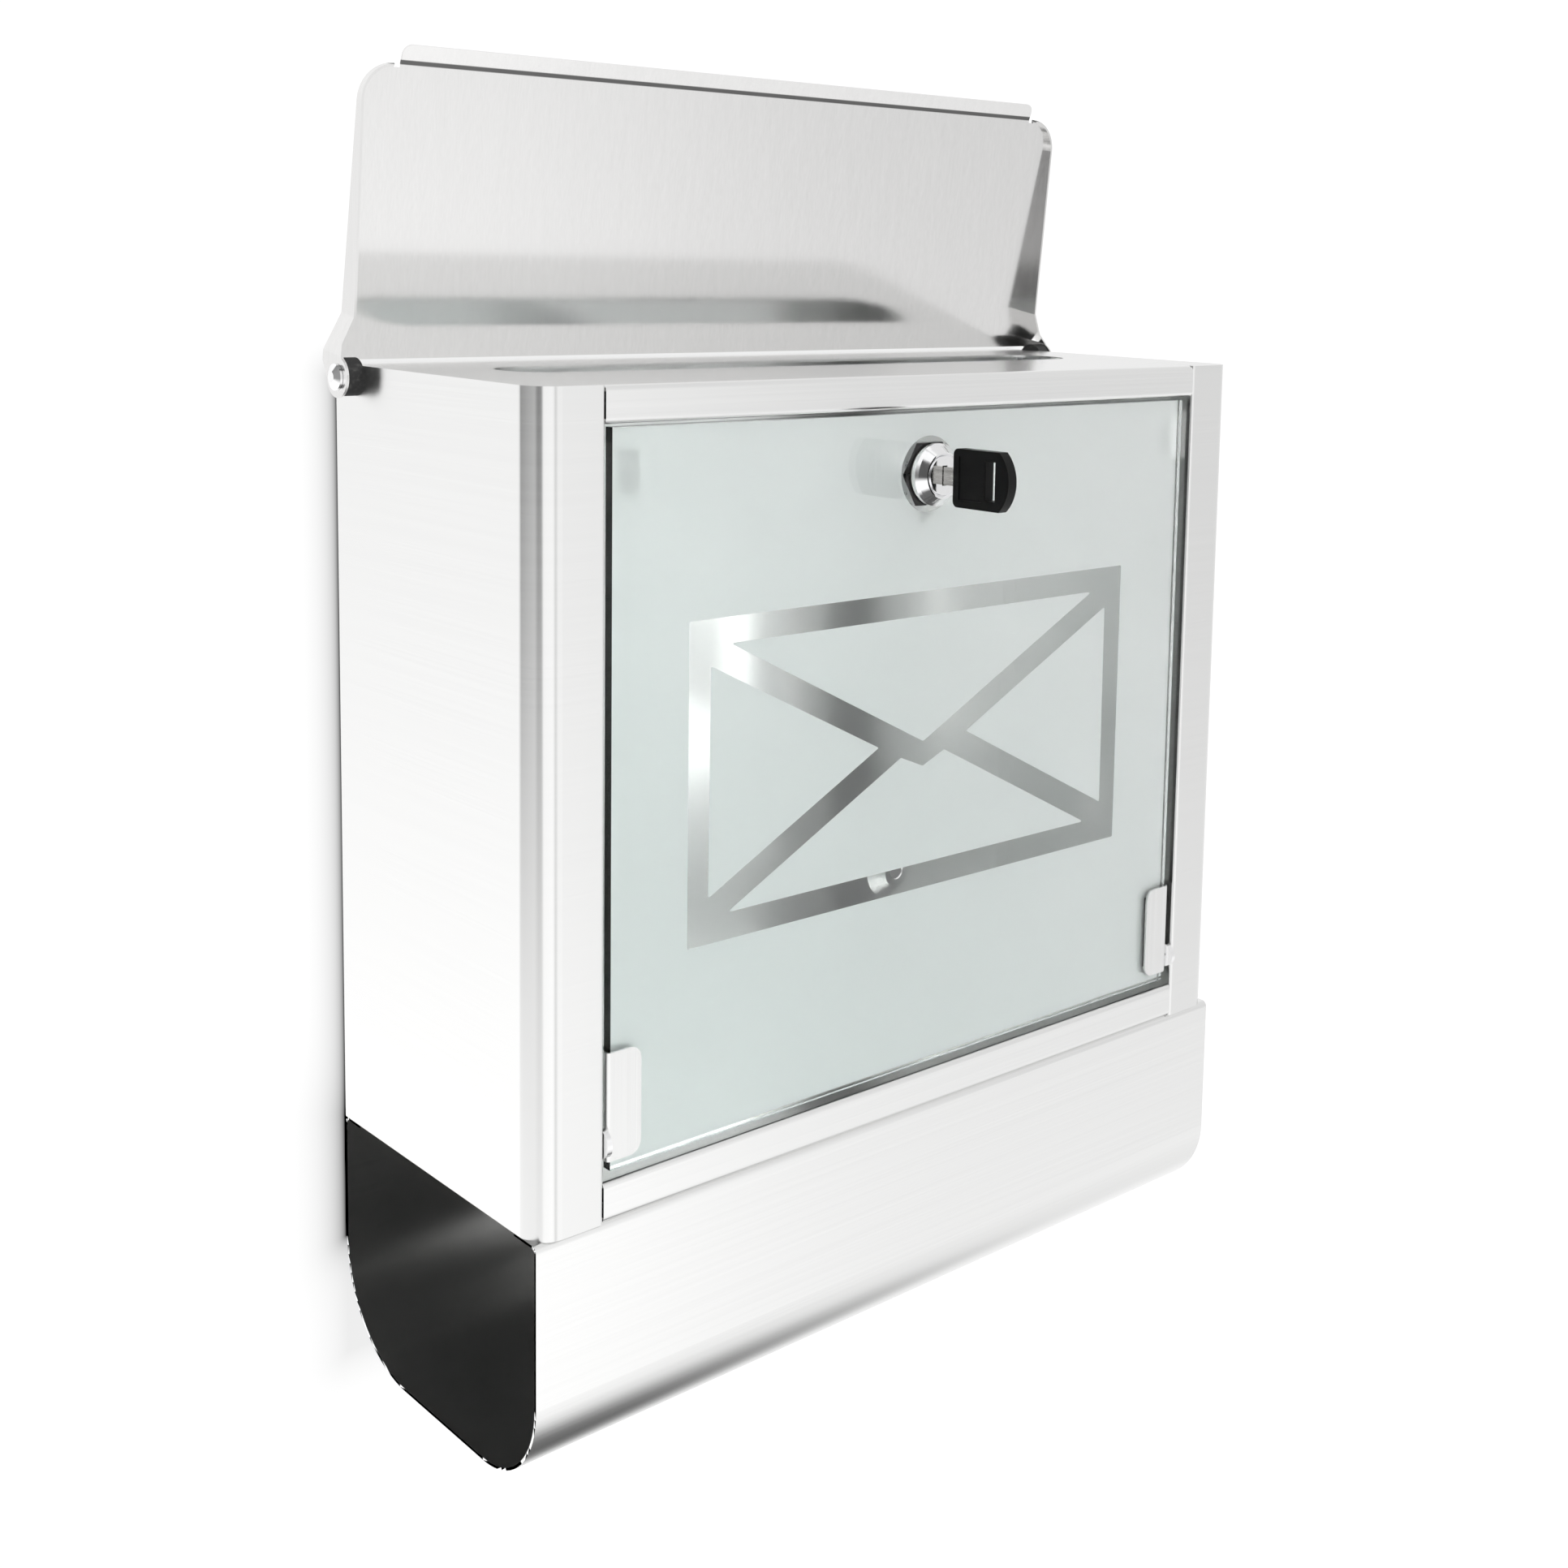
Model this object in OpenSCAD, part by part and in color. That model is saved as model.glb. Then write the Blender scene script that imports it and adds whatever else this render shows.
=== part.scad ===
// Wall mounted mailbox: a folded stainless steel box with a glass door hinged along its foot,
// a lid over the mail slot in its top, and an open newspaper holder below.
// Frame: the back lies on the wall plane y = 0 and the front faces -Y. The origin is the
// centre of the four wall fixing holes.

/* [Body] */
// Width across the side walls
body_w = 370; // [340:1:420]
// Height of the front
body_h = 296; // [280:1:340]
// Depth from the wall to the front face
body_d = 137; // [130:1:150]
// Thickness of every folded sheet
sheet = 1; // [0.8:0.1:1.2]
// How much higher the top is at the wall than at the front
top_rise = 2; // [0:0.5:4]
// Outer radius of the two upright front corners
corner_r = 10.5; // [8:0.5:14]
// Width of the steel on each side of the door
stile_w = 28; // [26:0.5:34]
// Height of the steel above the door
head_rail_h = 13.3; // [12:0.1:16]
// Height of the steel below the door
foot_rail_h = 14.7; // [13:0.1:18]

/* [Mail slot] */
// Length from end to end
slot_l = 300; // [260:1:310]
// Width
slot_w = 33; // [28:1:36]
// Distance of its centre line from the wall
slot_y = 60; // [50:1:62]

/* [Wall fixing] */
// Distance between the two columns of holes
fixing_w = 213; // [180:1:230]
// Distance between the two rows of holes
fixing_h = 204; // [160:1:210]
// Radius of each hole
fixing_r = 4; // [3:0.5:5]
// Height of the raised boss round each hole
boss_h = 6; // [4:0.5:7]

/* [Door] */
// Thickness of the glass
glass_t = 4; // [4:0.5:5]
// Gap between the glass and each side of the opening
glass_gap = 4.2; // [4.2:0.1:5]
// Height of the hinge axis above the foot of the box
door_axis_h = 28.6; // [28:0.1:32]
// Width of each hinge clip
clip_w = 14.7; // [12:0.1:18]
// Height of each hinge clip
clip_h = 40; // [36:1:50]

/* [Lock] */
// Height of the lock above the foot of the box
lock_h = 256.9; // [250:0.1:258]
// Radius of the lock's flange
lock_flange_r = 12.3; // [12:0.1:13]
// Radius of the turning plug
plug_r = 7.6; // [7:0.1:8]
// Length of the locking cam from the lock's centre to its tip
cam_l = 34; // [32:0.5:36]

/* [Lid] */
// How far the lid stands open, from level
lid_open = 80; // [0:1:86]
// Height of the lid's axis above the foot of the box
lid_axis_h = 293.5; // [292:0.1:294]
// Distance of the lid's axis from the wall
lid_axis_y = 15; // [15:0.5:20]
// Length of the lid from its axis to the fold at its front
lid_l = 115; // [112:0.5:116]
// Width of the turned-down lip along the lid's front
lip_w = 7; // [6:0.5:9]

/* [Newspaper holder] */
// Height below the foot of the box
holder_h = 95; // [85:1:110]
// Outer radius of the front curve
holder_front_r = 35; // [30:1:38]
// Outer radius of the rear curve
holder_rear_r = 45; // [38:1:48]

/* [Hidden] */
$fn = 64;

// Main levels and planes
foot_z = -body_h / 2;
head_z = body_h / 2;
side_x = body_w / 2;
inner_x = side_x - sheet;
front_y = -body_d;
door_x = side_x - stile_w;
head_rail_z = head_z - head_rail_h;
foot_rail_z = foot_z + foot_rail_h;
rail_bend_r = 2.5;
seam_r = 0.3;
return_l = 12;
keeper_l = 25;
foot_return_l = 8;
back_flange_l = 9;

// Door
glass_x = door_x - glass_gap;
glass_front_y = front_y + 2.2;
glass_back_y = glass_front_y + glass_t;
glass_foot_z = foot_rail_z + 2.9;
glass_head_z = head_rail_z - 1.3;
pivot_y = glass_front_y + 0.9;
pivot_z = foot_z + door_axis_h;
clip_x = door_x - 2.3;
clip_foot_z = pivot_z - 7.1;
clip_corner_r = 5;
pad_t = 2;
clip_back_y = glass_back_y + pad_t;
clip_screw_rise = [12, 32];
clip_screw_r = 2;
pin_r = 1.5;
running_gap = 0.05;
washer_r = 5.3;

// Stops behind the top corners of the glass
tab_foot_z = foot_z + 255;
tab_h = 21;
tab_l = 17.6;
bumper_w = 7.6;
bumper_t = 1.3;
tab_y = glass_back_y + 0.2 + bumper_t;

// Lock
lock_z = foot_z + lock_h;
lock_back_y = front_y + 26.5;
barrel_r = plug_r + 1.6;
flange_back_y = glass_front_y - 1;
flange_front_y = front_y - 4;
plug_front_y = flange_front_y - 0.3;
cam_t = 2;
cam_w = 12;
cam_hole_r = 4;
keyway = [2.6, 7.8];
keyway_l = 24;
blade = [2, 7];

// Key
bow_y = front_y - 11;
bow_l = 24;
bow_curve = 5;
bow_h = 22.7;
bow_t = 4.4;

// Lid
lid_z = foot_z + lid_axis_h;
lid_rise = 11;
lid_rear = 4;
lid_corner_r = 14;
ear_r = 7.8;
ear_gap = 0.1;
spacer_l = 6.5;
ear_x = side_x + spacer_l + ear_gap;
lid_side_x = side_x + 0.2;
lid_half_w = lid_side_x + sheet;
ear_half_w = ear_x + sheet;
lip_half_w = lid_half_w - 16.6;
lip_angle = 12;
lip_notch = [3, 1.5];
flare = [-22, -8];
lid_screw_r = 2;
lid_screw_head_r = 5;
lid_nut_r = 3;
lid_nut_l = 6;

// Newspaper holder
holder_front_y = front_y + 0.5;
holder_screw_x = side_x - 35;
holder_screw_y = [-7.5, front_y + 8.5];
holder_screw_r = 2;

steel = [0.86, 0.87, 0.87];
bright = [0.93, 0.93, 0.94];
black = [0.08, 0.08, 0.08];

// Height of the sloping top at a distance y from the wall plane
function top_z(y) = head_z + (y - front_y) * top_rise / body_d;

// The same thing on the left and on the right
module both_sides() {
    children();
    mirror([1, 0, 0]) children();
}

// A folded strip: the ring sector of one bend, from the angle "from" through "sweep"
module bend(centre, r_out, from, sweep = 90) {
    reach = 2 * r_out;
    translate(centre) intersection() {
        difference() {
            circle(r_out);
            circle(r_out - sheet);
        }
        polygon([
            [0, 0], reach * [cos(from), sin(from)],
            reach * [cos(from + sweep / 2), sin(from + sweep / 2)],
            reach * [cos(from + sweep), sin(from + sweep)]
        ]);
    }
}

// A rectangle given by two opposite corners
module box2(low, high) {
    translate(low) square(high - low);
}

// A solid box given by two opposite corners
module box3(low, high) {
    translate(low) cube(high - low);
}

// A flat outline drawn in Y and Z, as a solid from one x to another
module along_x(from, to) {
    translate([from, 0, 0]) rotate([90, 0, 90]) linear_extrude(to - from) children();
}

// A flat outline drawn in X and Z, as a solid from one y to another
module along_y(from, to) {
    translate([0, to, 0]) rotate([90, 0, 0]) linear_extrude(to - from) children();
}

// A round bar along X
module bar_x(from, to, y, z, r) {
    translate([from, y, z]) rotate([0, 90, 0]) cylinder(h = to - from, r = r);
}

// A round bar along Y
module bar_y(from, to, x, z, r) {
    translate([x, from, z]) rotate([-90, 0, 0]) cylinder(h = to - from, r = r);
}

// A rectangle with its two lowest corners rounded
module foot_rounded(low, high, r) {
    union() {
        box2([low[0], low[1] + r], high);
        box2([low[0] + r, low[1]], [high[0] - r, low[1] + r]);
        for (x = [low[0] + r, high[0] - r]) translate([x, low[1] + r]) circle(r);
    }
}

// One side wall, its upright front corner, the stile beside the door and the stile's return
module wall_outline() {
    corner = [side_x - corner_r, front_y + corner_r];
    seam_out_r = seam_r + sheet;
    seam = [door_x + seam_out_r, front_y + seam_out_r];
    box2([inner_x, corner[1]], [side_x, 0]);
    bend(corner, corner_r, 270);
    box2([seam[0], front_y], [corner[0], front_y + sheet]);
    bend(seam, seam_out_r, 180);
    box2([door_x, seam[1]], [door_x + sheet, front_y + return_l]);
}

// Side walls and stiles, cut to the slope of the top
module housing() {
    color(steel) both_sides() difference() {
        translate([0, 0, foot_z]) linear_extrude(body_h + top_rise) wall_outline();
        along_x(0, side_x + 1) polygon([
            [front_y - 1, top_z(front_y - 1)], [1, top_z(1)], [1, head_z + 10], [front_y - 1, head_z + 10]
        ]);
        along_x(door_x - 1, door_x + sheet + 1) {
            polygon([[front_y + sheet, top_z(front_y + sheet) - sheet], [0, top_z(0) - sheet],
                     [0, head_z + 10], [front_y + sheet, head_z + 10]]);
            box2([front_y + sheet, foot_z - 1], [0, foot_z + sheet]);
        }
        bar_x(door_x - 1, door_x + sheet + 1, pivot_y, pivot_z, pin_r + running_gap);
        bar_x(inner_x - 1, side_x + 1, -lid_axis_y, lid_z, lid_screw_r);
    }
}

// Outline turned about Y to make one pressed wall boss, as [radius, depth from the wall]
module boss_outline() {
    base_r = 14;
    flat_r = 7.5;
    polygon([
        [fixing_r, boss_h], [flat_r - 0.6, boss_h], [base_r - 0.6, 0], [base_r + 2, 0],
        [base_r + 2, sheet], [base_r, sheet], [flat_r, boss_h + sheet], [fixing_r, boss_h + sheet]
    ]);
}

// Back sheet with four pressed bosses and a narrow flange down each side
module back_panel() {
    hole_x = fixing_w / 2;
    hole_z = fixing_h / 2;
    color(steel) {
        difference() {
            box3([-inner_x, -sheet, foot_z], [inner_x, 0, head_z + top_rise - 0.1]);
            for (x = [-hole_x, hole_x], z = [-hole_z, hole_z]) bar_y(-sheet - 1, 1, x, z, 16);
        }
        for (x = [-hole_x, hole_x], z = [-hole_z, hole_z])
            translate([x, 0, z]) rotate([90, 0, 0]) rotate_extrude() boss_outline();
        both_sides() box3([inner_x - sheet, -back_flange_l, foot_z + 1.5], [inner_x, -sheet, head_z - 0.5]);
    }
}

// Outline of the sloping sheet of the top, from a given y back to the back sheet
module slope_outline(y0) {
    polygon([[y0, top_z(y0) - sheet], [y0, top_z(y0)], [-sheet, top_z(-sheet)], [-sheet, top_z(-sheet) - sheet]]);
}

// Outline of the top: its slope, its bend over the front, the rail and the keeper behind the rail
module top_outline() {
    centre = [front_y + rail_bend_r, top_z(front_y + rail_bend_r) - rail_bend_r];
    fold = [front_y + 2, head_rail_z + 2];
    slope_outline(centre[0]);
    bend(centre, rail_bend_r, 90);
    box2([front_y, fold[1]], [front_y + sheet, centre[1]]);
    bend(fold, 2, 180);
    box2([fold[0], head_rail_z], [front_y + keeper_l, head_rail_z + sheet]);
}

// Top sheet between the side walls, with the mail slot, the rail over the door and the keeper
module top_plate() {
    slot_x = (slot_l - slot_w) / 2;
    color(steel) difference() {
        union() {
            along_x(-door_x, door_x) top_outline();
            both_sides() intersection() {
                along_x(door_x, inner_x) slope_outline(front_y + sheet);
                translate([0, 0, head_z - 10]) linear_extrude(20)
                    foot_rounded([-inner_x, front_y + sheet], [inner_x, 0], corner_r - sheet);
            }
        }
        translate([0, 0, head_z - 10]) linear_extrude(20) {
            box2([-slot_x, -slot_y - slot_w / 2], [slot_x, -slot_y + slot_w / 2]);
            for (x = [-slot_x, slot_x]) translate([x, -slot_y]) circle(slot_w / 2);
        }
    }
}

// Bottom sheet between the side walls, with the rail below the door turned inward at its top
module bottom_plate() {
    bend_y = front_y + rail_bend_r;
    fold = [front_y + 2, foot_rail_z - 2];
    color(steel) difference() {
        union() {
            translate([0, 0, foot_z]) linear_extrude(sheet) difference() {
                foot_rounded([-inner_x, front_y + sheet], [inner_x, -sheet], corner_r - sheet);
                box2([-door_x, front_y - 1], [door_x, bend_y]);
            }
            along_x(-door_x, door_x) {
                bend([bend_y, foot_z + rail_bend_r], rail_bend_r, 180);
                box2([front_y, foot_z + rail_bend_r], [front_y + sheet, fold[1]]);
                bend(fold, 2, 90);
                box2([fold[0], foot_rail_z - sheet], [front_y + foot_return_l, foot_rail_z]);
            }
        }
        holder_screw_holes();
    }
}

// The four places where the holder is screwed to the bottom sheet
module at_holder_screws() {
    for (x = [-holder_screw_x, holder_screw_x], y = holder_screw_y) translate([x, y, foot_z]) children();
}

module holder_screw_holes() {
    at_holder_screws() translate([0, 0, -5]) cylinder(h = 10, r = holder_screw_r);
}

// Section of the newspaper holder: an open trough with a flange turned in at each top edge
module holder_outline() {
    floor_z = foot_z - holder_h;
    flange_bend = foot_z - rail_bend_r;
    front = [holder_front_y + holder_front_r, floor_z + holder_front_r];
    rear = [-holder_rear_r, floor_z + holder_rear_r];
    box2([holder_front_y + rail_bend_r, foot_z - sheet], [holder_front_y + 14, foot_z]);
    bend([holder_front_y + rail_bend_r, flange_bend], rail_bend_r, 90);
    box2([holder_front_y, front[1]], [holder_front_y + sheet, flange_bend]);
    bend(front, holder_front_r, 180);
    box2([front[0], floor_z], [rear[0], floor_z + sheet]);
    bend(rear, holder_rear_r, 270);
    box2([-sheet, rear[1]], [0, flange_bend]);
    bend([-rail_bend_r, flange_bend], rail_bend_r, 0);
    box2([-12, foot_z - sheet], [-rail_bend_r, foot_z]);
}

module newspaper_holder() {
    color(steel) difference() {
        along_x(-side_x, side_x) holder_outline();
        holder_screw_holes();
    }
}

// Pan head screws with their heads inside the box
module holder_screws() {
    color(bright) at_holder_screws() {
        translate([0, 0, -6]) cylinder(h = 6 + sheet, r = holder_screw_r);
        translate([0, 0, sheet]) cylinder(h = 2.4, r = 3.6);
    }
}

module holder_nuts() {
    color(bright) at_holder_screws() translate([0, 0, -sheet - 3.2]) difference() {
        cylinder(h = 3.2, r = 3.9, $fn = 6);
        translate([0, 0, -1]) cylinder(h = 6, r = holder_screw_r);
    }
}

// Angle tabs on the stile returns that stop the door when it is shut
module stop_tabs() {
    color(steel) both_sides() translate([0, 0, tab_foot_z]) linear_extrude(tab_h) {
        box2([door_x - tab_l, tab_y], [door_x, tab_y + sheet]);
        box2([door_x - sheet, tab_y + sheet], [door_x, front_y + return_l]);
    }
}

// Pads on the tabs, a little clear of the shut glass
module door_bumpers() {
    color(black) both_sides()
        box3([door_x - tab_l, tab_y - bumper_t, tab_foot_z + 3],
             [door_x - tab_l + bumper_w, tab_y, tab_foot_z + tab_h - 3]);
}

// Outline of a lid ear and side flange in Y and Z about the lid's axis, with the lid level
module lid_side_outline() {
    top = lid_rise + sheet;
    front = -lid_l + lid_corner_r;
    difference() {
        union() {
            circle(ear_r);
            polygon([
                [-lid_rear, top], [-lid_l - 1, top], [-lid_l - 1, lid_rise - 1.4], [front, lid_rise - 2.7],
                [-12, 1.3], [-6.8, -3], [0, -2], [6.5, 4]
            ]);
        }
        circle(lid_screw_r + running_gap);
    }
}

// The right-hand flange seen from above: it goes round the corner, and flares out to the ear beside the spacer
module lid_side_plan() {
    corner = [lid_half_w - lid_corner_r, -lid_l + lid_corner_r];
    polygon([
        [lid_side_x, corner[1]], [lid_side_x, flare[0]], [ear_x, flare[1]], [ear_x, ear_r + 1],
        [ear_half_w, ear_r + 1], [ear_half_w, flare[1]], [lid_half_w, flare[0]], [lid_half_w, corner[1]]
    ]);
    intersection() {
        bend(corner, lid_corner_r, 270);
        box2([corner[0] + 1, -lid_l - 1], [lid_half_w + 1, corner[1] + 1]);
    }
}

// Section of the lid's lip: its bend, then a flat strip a little too long, which is cut to shape later
module lip_outline(centre, r_out) {
    turn = 90 + lip_angle;
    function arc(r, from, to) = [for (i = [0:6]) let (a = from + (to - from) * i / 6) centre + r * [cos(a), sin(a)]];
    reach = (lip_w + 1) * [cos(turn + 90), sin(turn + 90)];
    outer = arc(r_out, 90, turn);
    inner = arc(r_out - sheet, turn, 90);
    polygon(concat(outer, [outer[6] + reach, inner[0] + reach], inner));
}

// Level lid about its own axis: panel, side flanges with their ears, and the lip turned down at the front
module level_lid() {
    fold_r = 2;
    lap = sheet / 2;
    translate([0, 0, lid_rise]) linear_extrude(sheet) difference() {
        union() {
            foot_rounded([-lid_half_w, -lid_l], [lid_half_w, flare[0] - 2], lid_corner_r);
            both_sides() polygon([
                [-1, flare[0] - 3], [lid_side_x + lap, flare[0] - 3], [lid_side_x + lap, flare[0]],
                [ear_x + lap, flare[1]], [ear_x + lap, -lid_rear], [-1, -lid_rear]
            ]);
        }
        both_sides() box2([lip_half_w, -lid_l - 1], [lip_half_w + lip_notch[0], -lid_l + lip_notch[1]]);
    }
    fold_z = lid_rise + sheet - fold_r;
    intersection() {
        along_x(-lip_half_w - 1, lip_half_w + 1) lip_outline([-lid_l, fold_z], fold_r);
        translate([0, -lid_l, fold_z]) rotate([lip_angle, 0, 0]) translate([0, 0, -5])
            linear_extrude(20) foot_rounded([-lip_half_w, -lip_w], [lip_half_w, 15], 4);
    }
    both_sides() intersection() {
        along_x(lip_half_w, ear_half_w + 1) lid_side_outline();
        translate([0, 0, -20]) linear_extrude(50) lid_side_plan();
    }
}

module lid() {
    color(steel) translate([0, -lid_axis_y, lid_z]) rotate([-lid_open, 0, 0]) level_lid();
}

// Rubber spacers between the side walls and the lid's ears
module lid_spacers() {
    color(black) both_sides() difference() {
        bar_x(side_x, side_x + spacer_l, -lid_axis_y, lid_z, 7.2);
        bar_x(side_x - 1, side_x + spacer_l + 1, -lid_axis_y, lid_z, lid_screw_r);
    }
}

// Domed screws that the lid turns on
module lid_screws() {
    head_x = ear_half_w + ear_gap;
    color(bright) both_sides() {
        bar_x(side_x - 5, head_x, -lid_axis_y, lid_z, lid_screw_r);
        translate([head_x, -lid_axis_y, lid_z]) rotate([0, 90, 0]) {
            cylinder(h = 1, r = lid_screw_head_r);
            translate([0, 0, 1]) cylinder(h = 1.4, r1 = lid_screw_head_r, r2 = 2.2);
        }
    }
}

// Blind nuts set inside the side walls
module lid_nuts() {
    color(bright) both_sides() difference() {
        bar_x(inner_x - lid_nut_l, inner_x, -lid_axis_y, lid_z, lid_nut_r);
        bar_x(inner_x - lid_nut_l - 1, inner_x + 1, -lid_axis_y, lid_z, lid_screw_r);
    }
}

module glass_door() {
    color([0.78, 0.87, 0.84]) difference() {
        box3([-glass_x, glass_front_y, glass_foot_z], [glass_x, glass_back_y, glass_head_z]);
        bar_y(glass_front_y - 1, glass_back_y + 1, 0, lock_z, barrel_r + 0.3);
    }
}

// Section of a hinge clip in X and Y: a channel folded round the edge of the glass
module clip_outline() {
    fold_r = 1.6;
    front = glass_front_y - sheet;
    back = clip_back_y + sheet;
    inner = clip_x - clip_w;
    box2([inner, front], [clip_x - fold_r, glass_front_y]);
    bend([clip_x - fold_r, front + fold_r], fold_r, 270);
    box2([clip_x - sheet, front + fold_r], [clip_x, back - fold_r]);
    bend([clip_x - fold_r, back - fold_r], fold_r, 0);
    box2([inner, clip_back_y], [clip_x - fold_r, back]);
}

// Right-hand hinge clip, with its two threaded bosses and its pin hole
module hinge_clip() {
    inner = clip_x - clip_w;
    screw_x = clip_x - clip_w / 2;
    difference() {
        union() {
            intersection() {
                translate([0, 0, clip_foot_z]) linear_extrude(clip_h) clip_outline();
                along_y(front_y - 5, clip_back_y + 5) {
                    box2([inner + clip_corner_r, clip_foot_z - 1], [clip_x + 1, clip_foot_z + clip_h + 1]);
                    box2([inner, clip_foot_z + clip_corner_r],
                         [inner + clip_corner_r, clip_foot_z + clip_h - clip_corner_r]);
                    for (z = [clip_foot_z + clip_corner_r, clip_foot_z + clip_h - clip_corner_r])
                        intersection() {
                            translate([inner + clip_corner_r, z]) circle(clip_corner_r);
                            box2([inner, clip_foot_z], [inner + clip_corner_r, clip_foot_z + clip_h]);
                        }
                }
            }
            for (rise = clip_screw_rise)
                bar_y(clip_back_y + sheet, clip_back_y + sheet + 2, screw_x, clip_foot_z + rise, 3.5);
        }
        for (rise = clip_screw_rise)
            bar_y(clip_back_y - 1, clip_back_y + 6, screw_x, clip_foot_z + rise, clip_screw_r);
        bar_x(clip_x - sheet - 0.5, clip_x + 1, pivot_y, pivot_z, pin_r);
    }
}

module hinge_clip_right() {
    color(bright) hinge_clip();
}

module hinge_clip_left() {
    color(bright) mirror([1, 0, 0]) hinge_clip();
}

// Rubber pads between the glass and the back leg of each clip
module clip_pads() {
    color(black) both_sides()
        box3([clip_x - clip_w + 1.5, glass_back_y, clip_foot_z + 4],
             [clip_x - sheet - 0.6, clip_back_y, clip_foot_z + clip_h - 4]);
}

// Set screws that press each pad on the glass
module clip_screws() {
    color(bright) both_sides() for (rise = clip_screw_rise)
        difference() {
            bar_y(clip_back_y, clip_back_y + 3.6, clip_x - clip_w / 2, clip_foot_z + rise, clip_screw_r);
            translate([clip_x - clip_w / 2, clip_back_y + 2.2, clip_foot_z + rise]) rotate([-90, 0, 0])
                cylinder(h = 3, r = 1.1, $fn = 6);
        }
}

// Pins riveted in the clips, which turn in the stile returns
module hinge_pins() {
    color(bright) both_sides() {
        bar_x(clip_x - sheet, door_x + 3, pivot_y, pivot_z, pin_r);
    }
}

module hinge_washers() {
    color(bright) both_sides() difference() {
        bar_x(clip_x, door_x - 0.2, pivot_y, pivot_z, washer_r);
        bar_x(clip_x - 1, door_x + 1, pivot_y, pivot_z, pin_r);
    }
}

// Lock cylinder with a bevelled flange outside the glass and a threaded barrel through it
module lock_body() {
    color(bright) translate([0, 0, lock_z]) rotate([90, 0, 0]) rotate_extrude() polygon([
        [plug_r + running_gap, -lock_back_y], [barrel_r, -lock_back_y], [barrel_r, -flange_back_y],
        [lock_flange_r, -flange_back_y], [lock_flange_r, -flange_back_y + 1.6],
        [lock_flange_r - 1, -flange_back_y + 2.6], [lock_flange_r - 3.2, -flange_front_y],
        [plug_r + 0.9, -flange_front_y], [plug_r + running_gap, -flange_front_y - 0.9]
    ]);
}

// Thin washer between the flange and the glass
module lock_washer() {
    color([0.9, 0.9, 0.88]) difference() {
        bar_y(flange_back_y, glass_front_y, 0, lock_z, lock_flange_r - 0.6);
        bar_y(flange_back_y - 1, glass_front_y + 1, 0, lock_z, barrel_r);
    }
}

// Hexagon nut that clamps the lock to the back of the glass
module lock_nut() {
    color(bright) difference() {
        translate([0, glass_back_y, lock_z]) rotate([-90, 0, 0]) cylinder(h = 4, r = 14.2, $fn = 6);
        bar_y(glass_back_y - 1, glass_back_y + 5, 0, lock_z, barrel_r);
    }
}

// Plug with its keyway, and the short round tail that carries the cam
module lock_plug() {
    color(bright) difference() {
        union() {
            bar_y(plug_front_y, lock_back_y, 0, lock_z, plug_r);
            bar_y(lock_back_y, lock_back_y + cam_t, 0, lock_z, cam_hole_r);
        }
        box3([-keyway[0] / 2, plug_front_y - 1, lock_z - keyway[1] / 2],
             [keyway[0] / 2, plug_front_y + keyway_l, lock_z + keyway[1] / 2]);
        bar_y(lock_back_y - 5, lock_back_y + cam_t + 1, 0, lock_z, 1.5);
    }
}

// Cam turned clear of the keeper, pointing along -X
module lock_cam() {
    color(steel) difference() {
        along_y(lock_back_y, lock_back_y + cam_t) {
            translate([0, lock_z]) circle(cam_w / 2 + 1);
            box2([cam_w / 2 - cam_l, lock_z - cam_w / 2], [0, lock_z + cam_w / 2]);
            translate([cam_w / 2 - cam_l, lock_z]) circle(cam_w / 2);
        }
        bar_y(lock_back_y - 1, lock_back_y + cam_t + 1, 0, lock_z, cam_hole_r);
    }
}

module cam_screw() {
    color(bright) {
        bar_y(lock_back_y - 4.5, lock_back_y + cam_t, 0, lock_z, 1.5);
        bar_y(lock_back_y + cam_t, lock_back_y + cam_t + 2.4, 0, lock_z, 5.2);
    }
}

// Flat blade with a notched upper edge
module key_blade() {
    tip_y = plug_front_y + keyway_l - 2;
    half_h = blade[1] / 2;
    notch_depths = [1.4, 0.8, 1.8, 1.1];
    notch_pitch = 3.4;
    color(bright) translate([0, 0, lock_z]) difference() {
        along_x(-blade[0] / 2, blade[0] / 2) polygon([
            [bow_y, -half_h], [tip_y - 2, -half_h], [tip_y, -half_h + 2],
            [tip_y, half_h - 2], [tip_y - 2, half_h], [bow_y, half_h]
        ]);
        for (i = [0 : len(notch_depths) - 1]) {
            y = tip_y - 4.5 - i * notch_pitch;
            d = notch_depths[i];
            along_x(-2, 2) polygon([[y - d - 0.5, half_h + 0.5], [y, half_h - d], [y + d + 0.5, half_h + 0.5]]);
        }
    }
}

// Outline of the key's grip in Y and Z: rounded inner corners and one long outer curve
module bow_outline(inset = 0) {
    half_h = bow_h / 2 - inset;
    r = 2.4;
    chord_y = bow_y - bow_l;
    curve_r = (pow(bow_h / 2, 2) + pow(bow_curve, 2)) / (2 * bow_curve);
    box2([chord_y, -half_h], [bow_y - r, half_h]);
    box2([bow_y - r, -half_h + r], [bow_y - inset, half_h - r]);
    for (z = [-half_h + r, half_h - r]) translate([bow_y - r, z]) circle(r - inset);
    intersection() {
        translate([chord_y - bow_curve + curve_r, 0]) circle(curve_r - inset);
        box2([chord_y - bow_curve, -half_h], [chord_y, half_h]);
    }
}

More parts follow.
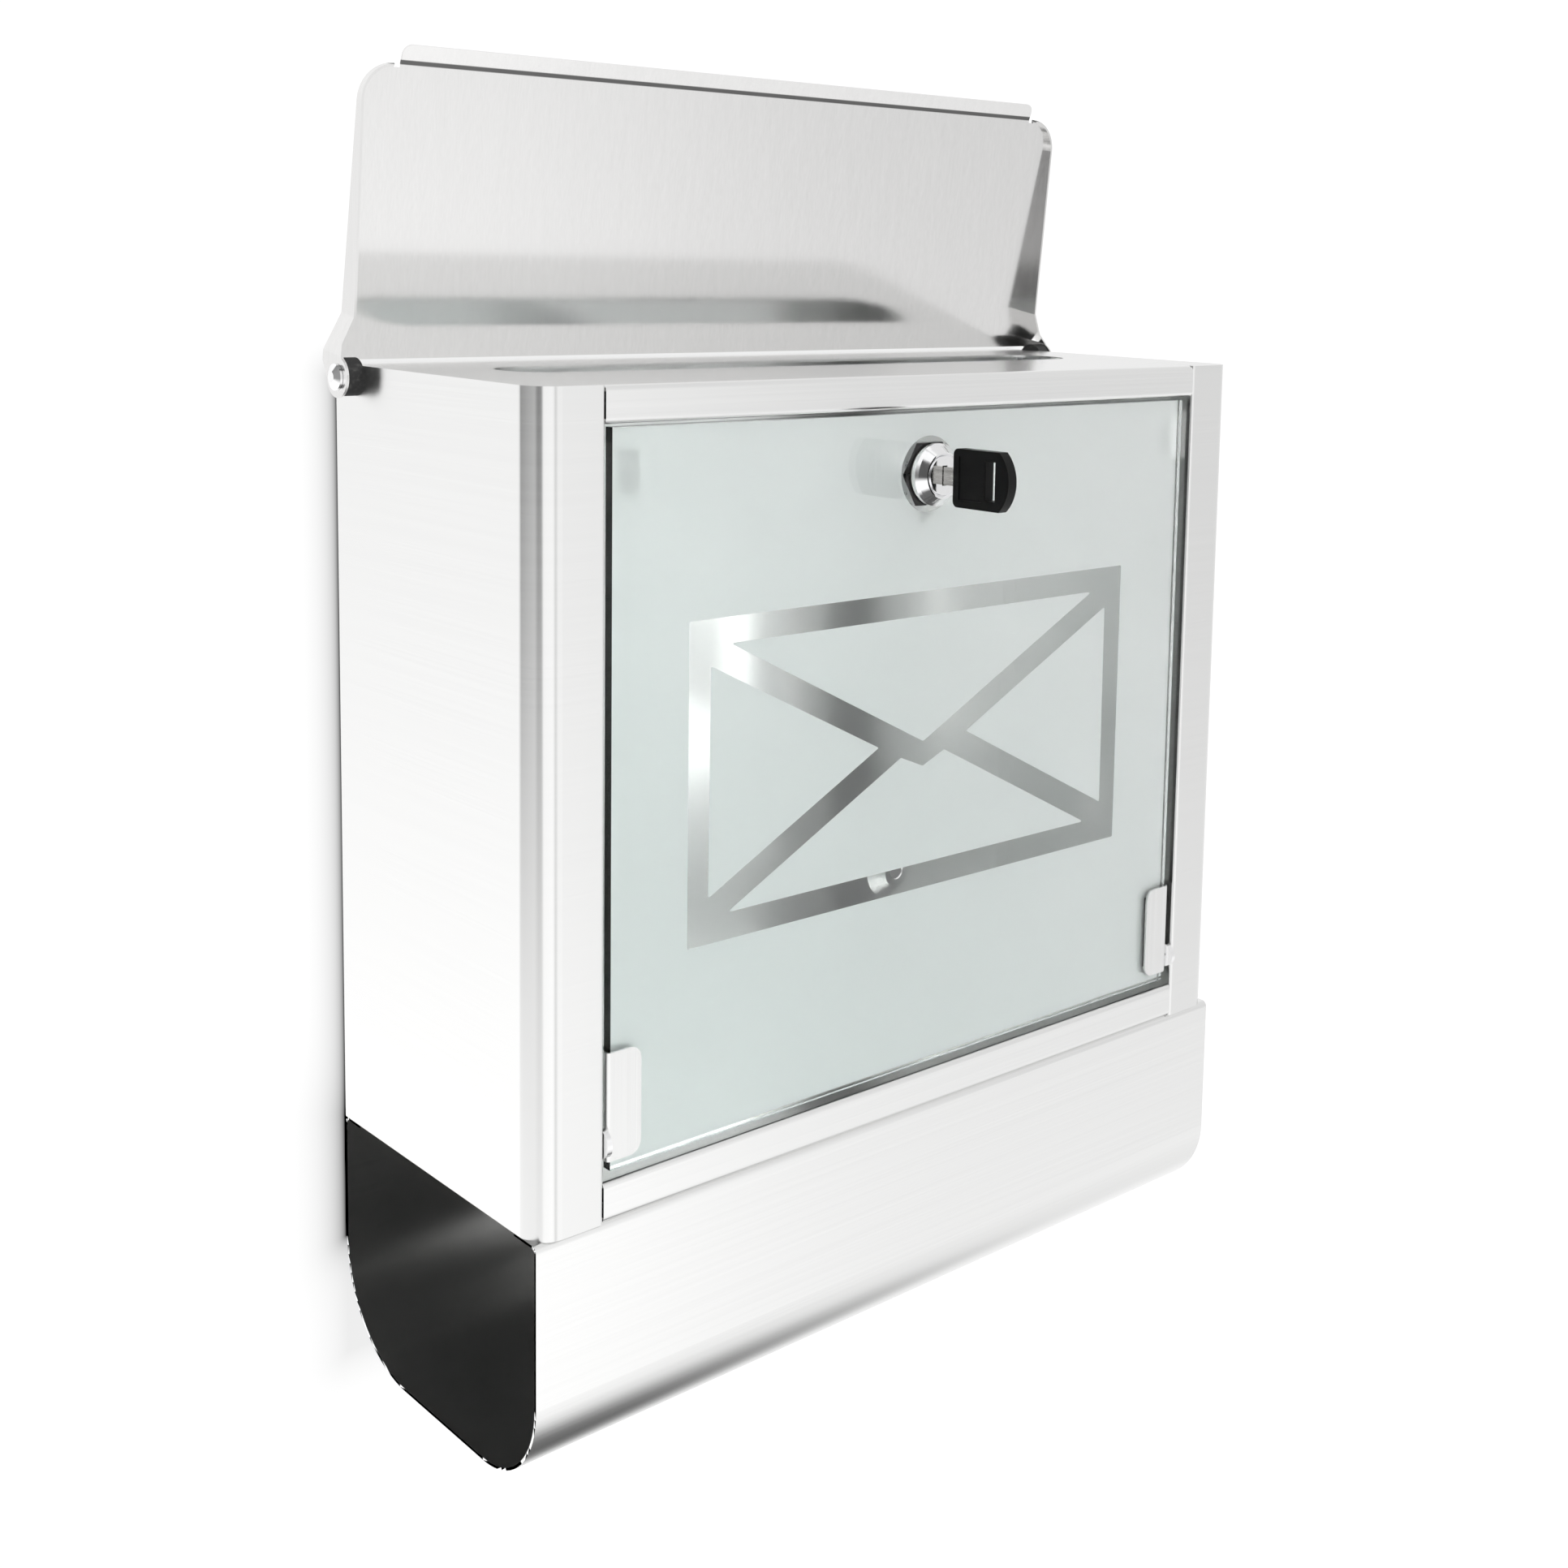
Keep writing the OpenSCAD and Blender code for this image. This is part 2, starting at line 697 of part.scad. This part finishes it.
// Moulded grip with a thin recessed face on each side and a slot for a key ring
module key_bow() {
    recess = 0.5;
    slot = [5, 15];
    slot_y0 = bow_y - bow_l + 2;
    color(black) translate([0, 0, lock_z]) difference() {
        along_x(-bow_t / 2, bow_t / 2) bow_outline();
        both_sides() along_x(bow_t / 2 - recess, bow_t)
            box2([bow_y - bow_l + 9, -bow_h / 2 + 3], [bow_y - 3, bow_h / 2 - 3]);
        along_x(-bow_t, bow_t) box2([slot_y0, -slot[1] / 2], [slot_y0 + slot[0], slot[1] / 2]);
    }
}

housing();
back_panel();
top_plate();
bottom_plate();
newspaper_holder();
holder_screws();
holder_nuts();
stop_tabs();
door_bumpers();
lid();
lid_spacers();
lid_screws();
lid_nuts();
glass_door();
hinge_clip_left();
hinge_clip_right();
clip_pads();
clip_screws();
hinge_pins();
hinge_washers();
lock_body();
lock_washer();
lock_nut();
lock_plug();
lock_cam();
cam_screw();
key_blade();
key_bow();
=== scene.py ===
import math

import bmesh
import bpy
from mathutils import Matrix, Vector


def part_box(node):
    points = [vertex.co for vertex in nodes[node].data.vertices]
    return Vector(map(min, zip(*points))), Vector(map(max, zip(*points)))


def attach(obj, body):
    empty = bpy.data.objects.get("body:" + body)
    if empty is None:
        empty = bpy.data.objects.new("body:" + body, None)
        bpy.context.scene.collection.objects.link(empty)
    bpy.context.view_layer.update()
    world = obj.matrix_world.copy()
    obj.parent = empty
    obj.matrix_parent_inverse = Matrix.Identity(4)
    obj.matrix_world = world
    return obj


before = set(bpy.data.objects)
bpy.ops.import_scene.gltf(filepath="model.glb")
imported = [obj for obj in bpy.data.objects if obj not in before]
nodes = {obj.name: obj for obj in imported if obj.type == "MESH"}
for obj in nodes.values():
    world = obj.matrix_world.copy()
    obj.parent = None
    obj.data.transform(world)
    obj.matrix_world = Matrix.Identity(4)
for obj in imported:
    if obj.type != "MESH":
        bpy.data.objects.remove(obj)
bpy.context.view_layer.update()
scene = bpy.context.scene
MM = 0.001


# ---------------------------------------------------------------- node helpers


class Tree:
    """A material's or world's nodes, made and joined by short calls."""

    def __init__(self, owner):
        owner.use_nodes = True
        self.tree = owner.node_tree
        self.tree.nodes.clear()

    def new(self, kind, inputs=None, **settings):
        node = self.tree.nodes.new(kind)
        for name, value in settings.items():
            setattr(node, name, value)
        for name, value in (inputs or {}).items():
            self.put(node.inputs[name], value)
        return node

    def put(self, socket, value):
        """Joins a socket to another one, or gives it a value."""
        if isinstance(value, bpy.types.NodeSocket):
            self.tree.links.new(value, socket)
        elif isinstance(value, (tuple, list)) and len(value) == 3 and socket.type == "RGBA":
            socket.default_value = (*value, 1)
        else:
            socket.default_value = value

    def math(self, operation, a, b=0.5):
        return self.new("ShaderNodeMath", {0: a, 1: b}, operation=operation).outputs[0]

    def mix(self, factor, a, b, blend="MIX"):
        # Of the Mix node's sockets, 6 and 7 in and 2 out are the ones for colours
        inputs = {0: factor, 6: a, 7: b}
        node = self.new("ShaderNodeMix", data_type="RGBA", blend_type=blend)
        for i, value in inputs.items():
            self.put(node.inputs[i], value)
        return node.outputs[2]

    def multiply(self, a, b):
        return self.mix(1.0, a, b, "MULTIPLY")

    def steps(self, value, low, high, to_low=0.0, to_high=1.0, smooth=True):
        kind = "SMOOTHSTEP" if smooth else "LINEAR"
        node = self.new("ShaderNodeMapRange", interpolation_type=kind)
        for i, v in enumerate((value, low, high, to_low, to_high)):
            self.put(node.inputs[i], v)
        return node.outputs[0]

    def ramp(self, value, stops):
        """Greys that run straight from stop to stop."""
        node = self.new("ShaderNodeValToRGB", {0: value})
        elements = node.color_ramp.elements
        while len(elements) < len(stops):
            elements.new(0.5)
        for element, (place, grey) in zip(elements, stops):
            element.position = place
            element.color = (grey, grey, grey, 1)
        return node.outputs[0]

    def point(self, scale=1):
        """The object's own coordinates times one scale, or a scale for each axis."""
        scales = scale if isinstance(scale, tuple) else (scale, scale, scale)
        coords = self.new("ShaderNodeTexCoord").outputs["Object"]
        return self.new("ShaderNodeMapping", {0: coords, "Scale": scales}).outputs[0]

    def noise(self, vector, detail=2.0, rough=0.5):
        inputs = {"Vector": vector, "Scale": 1.0, "Detail": detail, "Roughness": rough}
        return self.new("ShaderNodeTexNoise", inputs).outputs[0]

    def xyz(self, vector):
        return self.new("ShaderNodeSeparateXYZ", {0: vector}).outputs

    def bump(self, height, strength, distance):
        inputs = {"Height": height, "Strength": strength, "Distance": distance}
        return self.new("ShaderNodeBump", inputs).outputs[0]


def surface(name):
    material = bpy.data.materials.new(name)
    t = Tree(material)
    shader = t.new("ShaderNodeBsdfPrincipled")
    t.new("ShaderNodeOutputMaterial", {0: shader.outputs[0]})
    return material, t, shader


def assign(material, *names):
    for name in names:
        slots = nodes[name].data.materials
        if len(slots) == 0:
            slots.append(material)
        for i in range(len(slots)):
            slots[i] = material


# ---------------------------------------------------------------- brushed steel

# Noise scales that draw the lines out along x, along z, or level round the walls
FINE_LINES = {"x": (5, 1500, 1500), "z": (1500, 1500, 5), "wrap": (6, 6, 1700)}
BROAD_LINES = {"x": (1.5, 330, 330), "z": (330, 330, 1.5), "wrap": (2, 2, 420)}
LINES_ROUGHEN = 0.08
CLOUDS_ROUGHEN = 0.03


def brushed(
    name, along, colour=(0.87, 0.87, 0.865), rough=0.25, streak=0.06, bump=0.1, anisotropic=0.7
):
    """Satin steel with fine brush lines along one direction: "x", "z" or "wrap"."""
    material, t, shader = surface(name)
    lines = t.noise(t.point(FINE_LINES[along]), detail=3, rough=0.65)
    bands = t.noise(t.point(BROAD_LINES[along]), detail=2, rough=0.6)
    clouds = t.noise(t.point(9), detail=2)
    both = t.math("ADD", t.math("MULTIPLY", lines, 0.65), t.math("MULTIPLY", bands, 0.35))
    tone = t.steps(both, 0.3, 0.7, 1 - streak, 1.0, smooth=False)
    t.put(shader.inputs["Base Color"], t.mix(tone, (0, 0, 0), colour))
    shader.inputs["Metallic"].default_value = 1
    uneven = t.math(
        "ADD", t.math("MULTIPLY", both, LINES_ROUGHEN), t.math("MULTIPLY", clouds, CLOUDS_ROUGHEN)
    )
    mean = (LINES_ROUGHEN + CLOUDS_ROUGHEN) / 2
    t.put(shader.inputs["Roughness"], t.math("ADD", uneven, rough - mean))
    shader.inputs["Anisotropic"].default_value = anisotropic
    t.put(shader.inputs["Normal"], t.bump(lines, bump, 0.05 * MM))
    # Reflections stretch across the brush lines
    if along == "x":
        face = t.new("ShaderNodeNewGeometry").outputs["Normal"]
        across = t.new(
            "ShaderNodeVectorMath", {0: face, 1: (1, 0, 0)}, operation="CROSS_PRODUCT"
        ).outputs[0]
    else:
        axis = "X" if along == "z" else "Z"
        across = t.new("ShaderNodeCombineXYZ", {axis: 1.0}).outputs[0]
    t.put(shader.inputs["Tangent"], across)
    return material, t, shader


steel_wrap, *_ = brushed(
    "steel_wrap", "wrap", rough=0.24, streak=0.035, bump=0.045, anisotropic=0.85
)
assign(steel_wrap, "housing", "back_panel")
steel_x, *_ = brushed("steel_lengthwise", "x", colour=(0.91, 0.91, 0.905), rough=0.22, streak=0.05)
assign(steel_x, "top_plate", "bottom_plate", "newspaper_holder")
steel_z, *_ = brushed("steel_upright", "z")
assign(steel_z, "hinge_clip_left", "hinge_clip_right", "stop_tabs")
steel_lid, t, shader = brushed(
    "steel_lid", "z", colour=(0.83, 0.825, 0.82), rough=0.14, bump=0.06, anisotropic=0.8
)
assign(steel_lid, "lid")

# A dark line of shade along the fold between the lid's panel and its lip
LID_LEAN = math.radians(80)
FOLD_FROM_AXIS = 0.1155
FOLD_DARK_TO = 0.6 * MM
FOLD_CLEAR_FROM = 1.1 * MM
FOLD_TONE = 0.16
screw_low, screw_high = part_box("lid_screws")
axis_y, axis_z = (screw_low.y + screw_high.y) / 2, (screw_low.z + screw_high.z) / 2
_, y, z = t.xyz(t.point())
from_axis = t.math(
    "SUBTRACT",
    t.math("MULTIPLY", t.math("SUBTRACT", z, axis_z), math.sin(LID_LEAN)),
    t.math("MULTIPLY", t.math("SUBTRACT", y, axis_y), math.cos(LID_LEAN)),
)
from_fold = t.math("ABSOLUTE", t.math("SUBTRACT", from_axis, FOLD_FROM_AXIS))
line = t.steps(from_fold, FOLD_DARK_TO, FOLD_CLEAR_FROM, FOLD_TONE, 1.0)
base = shader.inputs["Base Color"]
t.put(base, t.multiply(base.links[0].from_socket, line))


# ---------------------------------------------------------------- other materials


def speckled(
    name, scale, dark, light, rough, bump, detail=2.0, grain=None, metallic=0, rough_from=0.3
):
    """Colour and roughness that follow one noise, with a bump from it or from a finer grain."""
    material, t, shader = surface(name)
    pattern = t.noise(t.point(scale), detail=detail)
    t.put(shader.inputs["Base Color"], t.mix(pattern, dark, light))
    shader.inputs["Metallic"].default_value = metallic
    t.put(shader.inputs["Roughness"], t.steps(pattern, rough_from, 0.7, *rough))
    height = t.noise(t.point(grain[0]), rough=grain[1]) if grain else pattern
    t.put(shader.inputs["Normal"], t.bump(height, *bump))
    return material, shader


# Zinc plated fixings: fine matt grain and slight colour patches
zinc, _ = speckled(
    "zinc_plating", 300, (0.62, 0.63, 0.66), (0.78, 0.78, 0.77), rough=(0.26, 0.4),
    bump=(0.15, 0.02 * MM), detail=3, grain=(2500, 0.5), metallic=1,
)
assign(
    zinc, "holder_screws", "holder_nuts", "lid_nuts", "clip_screws", "hinge_pins", "lock_nut",
    "lock_cam", "cam_screw",
)

# Polished chrome with faint wiping marks
chrome, _ = speckled(
    "polished_chrome", (700, 700, 250), (0.90, 0.90, 0.91), (0.97, 0.97, 0.97),
    rough=(0.06, 0.12), bump=(0.03, 0.02 * MM), metallic=1, rough_from=0.35,
)
assign(chrome, "lid_screws", "hinge_washers", "lock_body", "lock_plug")

# Key blade: nickel with milled lines along the blade
blade, _ = speckled(
    "key_nickel", (2200, 30, 900), (0.66, 0.65, 0.62), (0.84, 0.83, 0.80),
    rough=(0.18, 0.3), bump=(0.1, 0.03 * MM), metallic=1,
)
assign(blade, "key_blade")

# Black moulded grip: satin with a fine spark texture
bow, shader = speckled(
    "key_grip_black", 120, (0.003, 0.003, 0.003), (0.006, 0.006, 0.006),
    rough=(0.3, 0.42), bump=(0.1, 0.04 * MM), grain=(1800, 0.6),
)
shader.inputs["Specular IOR Level"].default_value = 0.13
assign(bow, "key_bow")

# Pale nylon washer
nylon, _ = speckled(
    "pale_nylon", 400, (0.78, 0.78, 0.74), (0.86, 0.86, 0.83), rough=(0.35, 0.5),
    bump=(0.05, 0.03 * MM), detail=3,
)
assign(nylon, "lock_washer")

# Black rubber: matt, dusty and slightly uneven
rubber, t, shader = surface("matt_rubber")
dust = t.noise(t.point(500), detail=4, rough=0.65)
settled = t.steps(dust, 0.45, 0.8)
t.put(shader.inputs["Base Color"], t.mix(settled, (0.012, 0.012, 0.012), (0.05, 0.05, 0.048)))
t.put(shader.inputs["Roughness"], t.steps(dust, 0.3, 0.7, 0.55, 0.75))
t.put(shader.inputs["Normal"], t.bump(dust, 0.25, 0.08 * MM))
assign(rubber, "lid_spacers", "clip_pads", "door_bumpers")

# Clear float glass, faintly green
glass, t, shader = surface("clear_float_glass")
ripple = t.noise(t.point(14), detail=1)
t.put(shader.inputs["Base Color"], t.mix(ripple, (0.965, 0.985, 0.977), (0.975, 0.99, 0.983)))
t.put(shader.inputs["Roughness"], t.steps(ripple, 0.3, 0.7, 0.0, 0.012))
shader.inputs["Transmission Weight"].default_value = 1
shader.inputs["IOR"].default_value = 1.5
assign(glass, "glass_door")

# Acid-etched back of the glass, faintly green, with painted shade that makes it darker and greener
# towards its lower left corner
frost, t, shader = surface("etched_glass")
grain = t.noise(t.point(1500), detail=3, rough=0.6)
mottle = t.mix(t.noise(t.point(35), detail=3), (0.97, 0.97, 0.97), (1.0, 1.0, 1.0))
x, _, z = t.xyz(t.point())
# Painted shade: the colour runs from pale at the upper right to darker and greener at the lower
# left
corner_to_corner = t.steps(t.math("ADD", x, z), -0.26, 0.26)
tint_and_shade = t.mix(corner_to_corner, (0.84, 0.895, 0.882), (0.93, 0.94, 0.936))
t.put(shader.inputs["Base Color"], t.multiply(tint_and_shade, mottle))
t.put(shader.inputs["Roughness"], t.steps(grain, 0.3, 0.7, 0.5, 0.62))
shader.inputs["Transmission Weight"].default_value = 0.5
shader.inputs["IOR"].default_value = 1.35
t.put(shader.inputs["Normal"], t.bump(grain, 0.15, 0.04 * MM))


# ---------------------------------------------------------------- small edge rounding

# Widths in millimetres
EDGE_WIDTHS = {
    0.15: ("key_blade",),
    0.2: (
        "housing", "back_panel", "top_plate", "bottom_plate", "newspaper_holder", "lid",
        "stop_tabs", "hinge_clip_left", "hinge_clip_right", "lock_cam", "lock_body",
    ),
    0.3: ("lock_nut",),
    0.35: ("glass_door",),
    0.5: ("key_bow",),
}


def soften(name, width):
    edge = nodes[name].modifiers.new("edge", "BEVEL")
    edge.width = width * MM
    edge.segments = 2
    edge.limit_method = "ANGLE"
    edge.angle_limit = math.radians(40)
    edge.harden_normals = True
    edge.use_clamp_overlap = True


for width, names in EDGE_WIDTHS.items():
    for name in names:
        soften(name, width)


# ---------------------------------------------------------------- etched layer behind the glass

SKIN = 0.06 * MM
SKIN_GAP = 0.01 * MM
PANE_MARGIN = 0.6 * MM
NUT_MARGIN = 0.8 * MM
NUT_SIDES = 48
CURVE_STEPS = 5


def rounded(points, r):
    """The same polygon with small curves at its corners."""
    out = []
    for i, p in enumerate(points):
        p = Vector(p)
        before, after = Vector(points[i - 1]) - p, Vector(points[(i + 1) % len(points)]) - p
        a, b = before.normalized(), after.normalized()
        reach = min(r / math.tan(a.angle(b) / 2), before.length * 0.4)
        start, end = p + a * reach, p + b * reach
        for k in range(CURVE_STEPS + 1):
            s = k / CURVE_STEPS
            out.append(tuple((1 - s) ** 2 * start + 2 * s * (1 - s) * p + s * s * end))
    return out


def sheet_mesh(name, outer, holes, y_front, y_back):
    """A thin flat layer with holes, filled by Blender's 2-D curve fill."""
    curve = bpy.data.curves.new(name, "CURVE")
    curve.dimensions = "2D"
    curve.fill_mode = "BOTH"
    for loop in [outer, *holes]:
        spline = curve.splines.new("POLY")
        spline.points.add(len(loop) - 1)
        for point, (x, z) in zip(spline.points, loop):
            point.co = (x, z, 0, 1)
        spline.use_cyclic_u = True
    curve.extrude = (y_back - y_front) / 2
    o = bpy.data.objects.new(name + "_curve", curve)
    scene.collection.objects.link(o)
    depsgraph = bpy.context.evaluated_depsgraph_get()
    mesh = bpy.data.meshes.new_from_object(o.evaluated_get(depsgraph))
    bpy.data.objects.remove(o)
    upright = Matrix.Rotation(math.pi / 2, 4, "X")
    mesh.transform(Matrix.Translation((0, (y_front + y_back) / 2, 0)) @ upright)
    bm = bmesh.new()
    bm.from_mesh(mesh)
    bmesh.ops.remove_doubles(bm, verts=bm.verts, dist=1e-6)
    bmesh.ops.recalc_face_normals(bm, faces=bm.faces)
    bm.to_mesh(mesh)
    bm.free()
    mesh.name = name
    piece = bpy.data.objects.new(name, mesh)
    scene.collection.objects.link(piece)
    return piece


glass_low, glass_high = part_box("glass_door")
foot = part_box("housing")[0].z / MM
nut_low, nut_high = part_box("lock_nut")
lock_x, lock_z = (nut_low.x + nut_high.x) / 2, (nut_low.z + nut_high.z) / 2
nut_r = (nut_high.x - nut_low.x) / 2 + NUT_MARGIN


def shape(points, r=0.6):
    """An outline in metres, from corners in millimetres above the foot of the box."""
    return [(x * MM, (z + foot) * MM) for x, z in rounded(points, r)]


pane_left, pane_right = glass_low.x + PANE_MARGIN, glass_high.x - PANE_MARGIN
pane_foot, pane_head = glass_low.z + PANE_MARGIN, glass_high.z - PANE_MARGIN
pane = [
    (pane_left, pane_foot), (pane_right, pane_foot), (pane_right, pane_head), (pane_left, pane_head)
]
turns = [2 * math.pi * i / NUT_SIDES for i in range(NUT_SIDES)]
lock_hole = [(lock_x + nut_r * math.cos(a), lock_z + nut_r * math.sin(a)) for a in turns]
# The envelope's clear lines are the gaps between this hole in the field and the four areas in it
envelope = shape([(-117.5, 90.2), (117.5, 90.2), (117.5, 210.6), (-117.5, 210.6)], 0.8)
flap = shape([(-98.8, 200.8), (0, 150.2), (98.8, 200.8)])
left_side = shape([(-107.5, 193.4), (-108, 107.5), (-24, 151)])
right_side = shape([(107.5, 193.4), (24, 151), (108, 107.5)])
letter = shape([(-99, 100.4), (98, 100.4), (12, 145.1), (0, 140.2), (-12, 145.2)])
skin_front = glass_high.y + SKIN_GAP
for name, outer, holes in (
    ("glass_frosting", pane, [lock_hole, envelope]),
    ("frosting_flap", flap, []),
    ("frosting_left", left_side, []),
    ("frosting_right", right_side, []),
    ("frosting_letter", letter, []),
):
    piece = sheet_mesh(name, outer, holes, skin_front, skin_front + SKIN)
    piece.data.materials.clear()
    piece.data.materials.append(frost)
    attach(piece, "door")


# ---------------------------------------------------------------- wall and floor

FLOOR_Z = -0.9
FLOOR_HALF = 4
WALL_Y = 0.5 * MM
WALL_HALF = 3
WALL_TOP = 2.2


def plane(name, corners):
    mesh = bpy.data.meshes.new(name)
    mesh.from_pydata(corners, [], [(0, 1, 2, 3)])
    o = bpy.data.objects.new(name, mesh)
    scene.collection.objects.link(o)
    return o


floor = plane("floor", [
    (-FLOOR_HALF, -FLOOR_HALF, FLOOR_Z), (FLOOR_HALF, -FLOOR_HALF, FLOOR_Z),
    (FLOOR_HALF, FLOOR_HALF, FLOOR_Z), (-FLOOR_HALF, FLOOR_HALF, FLOOR_Z),
])
wall = plane("wall", [
    (-WALL_HALF, WALL_Y, FLOOR_Z), (WALL_HALF, WALL_Y, FLOOR_Z),
    (WALL_HALF, WALL_Y, WALL_TOP), (-WALL_HALF, WALL_Y, WALL_TOP),
])

# The wall glows plain white, with a soft contact shade round the box, and is clear from behind
body_low, body_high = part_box("housing")
trough_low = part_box("newspaper_holder")[0]
paper = bpy.data.materials.new("pale_studio_wall")
t = Tree(paper)
x, _, z = t.xyz(t.point())


def outside(value, low, high):
    """How far a value lies outside a range, or 0 inside it."""
    under, over = t.math("SUBTRACT", low, value), t.math("SUBTRACT", value, high)
    return t.math("MAXIMUM", t.math("MAXIMUM", under, over), 0.0)


def gap(low_z, high_z):
    """The distance on the wall to a rectangle as wide as the box."""
    across, along = outside(x, body_low.x, body_high.x), outside(z, low_z, high_z)
    squares = t.math("MULTIPLY", across, across), t.math("MULTIPLY", along, along)
    return t.math("SQRT", t.math("ADD", *squares))


def halo(distance, reach, depth):
    fall = t.math("POWER", math.e, t.math("DIVIDE", distance, -reach))
    return t.math("MULTIPLY", fall, depth)


# A close shade round the box and a wide one below it
near = gap(trough_low.z + 0.045, body_high.z - 0.006)
contact = t.math("ADD", halo(near, 0.0011, 0.45), halo(near, 0.0065, 0.5))
below = halo(gap(trough_low.z - 0.004, body_low.z), 0.013, 0.2)
glow = t.math("SUBTRACT", 1.06, t.math("ADD", contact, below))
clouds = t.noise(t.point(2), detail=2)
white = t.new("ShaderNodeEmission", {0: t.mix(clouds, (0.99, 0.99, 0.99), (1, 1, 1)), 1: glow})
clear = t.new("ShaderNodeBsdfTransparent")
behind = t.new("ShaderNodeNewGeometry").outputs["Backfacing"]
mixed = t.new("ShaderNodeMixShader", {0: behind, 1: white.outputs[0], 2: clear.outputs[0]})
t.new("ShaderNodeOutputMaterial", {0: mixed.outputs[0]})
wall.data.materials.append(paper)
wall.visible_glossy = False

ground, t, shader = surface("pale_studio_floor")
clouds = t.noise(t.point(2), detail=2)
t.put(shader.inputs["Base Color"], t.mix(clouds, (0.9, 0.9, 0.9), (0.93, 0.93, 0.93)))
shader.inputs["Roughness"].default_value = 0.9
floor.data.materials.append(ground)
floor.visible_glossy = False


# ---------------------------------------------------------------- the room's light

# Brightness by the direction in degrees, turning from -X towards -Y
RING = [
    (-180, 0.8), (-140, 0.95), (-75, 1.06), (-52, 1.06), (-45, 1.0), (66, 1.05), (88, 1.08),
    (94, 0.75), (98, 0.72), (104, 1.0), (124, 1.0), (133, 0.8), (145, 0.8), (180, 0.8),
]
# How much a darker side of the room takes away, by the same direction
FLAG = [
    (-50, 0.0), (-45, 0.75), (20, 0.6), (28, 0.9), (44, 0.9), (50, 0.0), (180, 0.0),
]
# Brightness by height, from straight down at 0 to straight up at 1
RISE = [
    (0.0, 0.12), (0.07, 0.15), (0.13, 1.1), (0.27, 1.25), (0.33, 1.12), (0.42, 1.0), (0.5, 0.96),
    (0.7, 1.0), (1.0, 1.0),
]

world = bpy.data.worlds.new("studio")
scene.world = world
t = Tree(world)
x, y, z = t.xyz(t.new("ShaderNodeTexCoord").outputs["Generated"])
turned_by = t.math("ARCTAN2", t.math("MULTIPLY", y, -1.0), t.math("MULTIPLY", x, -1.0))
direction = t.math("ADD", t.math("DIVIDE", turned_by, 2 * math.pi), 0.5)
height = t.math("ADD", t.math("MULTIPLY", z, 0.5), 0.5)


def by_direction(stops):
    return t.ramp(direction, [(degrees / 360 + 0.5, grey) for degrees, grey in stops])


# The darker side fades below eye level
flag = t.math("MULTIPLY", by_direction(FLAG), t.steps(z, -0.42, -0.1))
studio = t.multiply(by_direction(RING), t.ramp(height, RISE))
studio = t.multiply(studio, t.math("SUBTRACT", 1.0, flag))

# Steel seen through the door gets strong light from all directions but well below eye level
paths = t.new("ShaderNodeLightPath").outputs
through = t.math("GREATER_THAN", paths["Transmission Depth"], 2.5)
off_steel = t.math("GREATER_THAN", paths["Glossy Depth"], 0.5)
boost = t.steps(z, -0.33, -0.24, -0.75, 5.5)
gain = t.math("MULTIPLY", t.math("MULTIPLY", through, off_steel), boost)
lit = t.new("ShaderNodeBackground", {0: studio, 1: t.math("ADD", 1.0, gain)})

# The backdrop, and the room's light on matt pieces, are plain white
seen = t.new("ShaderNodeBackground", {0: (1, 1, 1), 1: 1.1})
plain = t.math(
    "MAXIMUM", paths["Is Camera Ray"], t.math("MINIMUM", paths["Diffuse Depth"], 1.0)
)
both = t.new("ShaderNodeMixShader", {0: plain, 1: lit.outputs[0], 2: seen.outputs[0]})
t.new("ShaderNodeOutputWorld", {0: both.outputs[0]})

light = bpy.data.lights.new("key_light", "AREA")
light.shape = "SQUARE"
light.size = 0.28
light.energy = 58
key = bpy.data.objects.new("key_light", light)
key.location = (0.13, -2.95, 0.65)
key.rotation_euler = (-key.location).to_track_quat("-Z", "Y").to_euler()
key.visible_camera = False
key.visible_glossy = False
scene.collection.objects.link(key)


# ---------------------------------------------------------------- camera

EYE = (-0.53616, -0.67392, 0.18579)
AZIMUTH = math.radians(-40.473)
ELEVATION = math.radians(6.659)
ROLL = math.radians(0.784)

camera = bpy.data.cameras.new("camera")
camera.sensor_width = 36
camera.lens = 44.86
camera.shift_y = -0.18
camera.clip_start = 0.01
eye = bpy.data.objects.new("camera", camera)
scene.collection.objects.link(eye)
backward = Vector((
    math.sin(AZIMUTH) * math.cos(ELEVATION),
    -math.cos(AZIMUTH) * math.cos(ELEVATION),
    math.sin(ELEVATION),
))
level = Vector((math.cos(AZIMUTH), math.sin(AZIMUTH), 0))
rise = backward.cross(level)
right = level * math.cos(ROLL) + rise * math.sin(ROLL)
upward = rise * math.cos(ROLL) - level * math.sin(ROLL)
turned = Matrix((right, upward, backward)).transposed().to_4x4()
eye.matrix_world = Matrix.Translation(EYE) @ turned
scene.camera = eye
scene.view_settings.view_transform = "Standard"
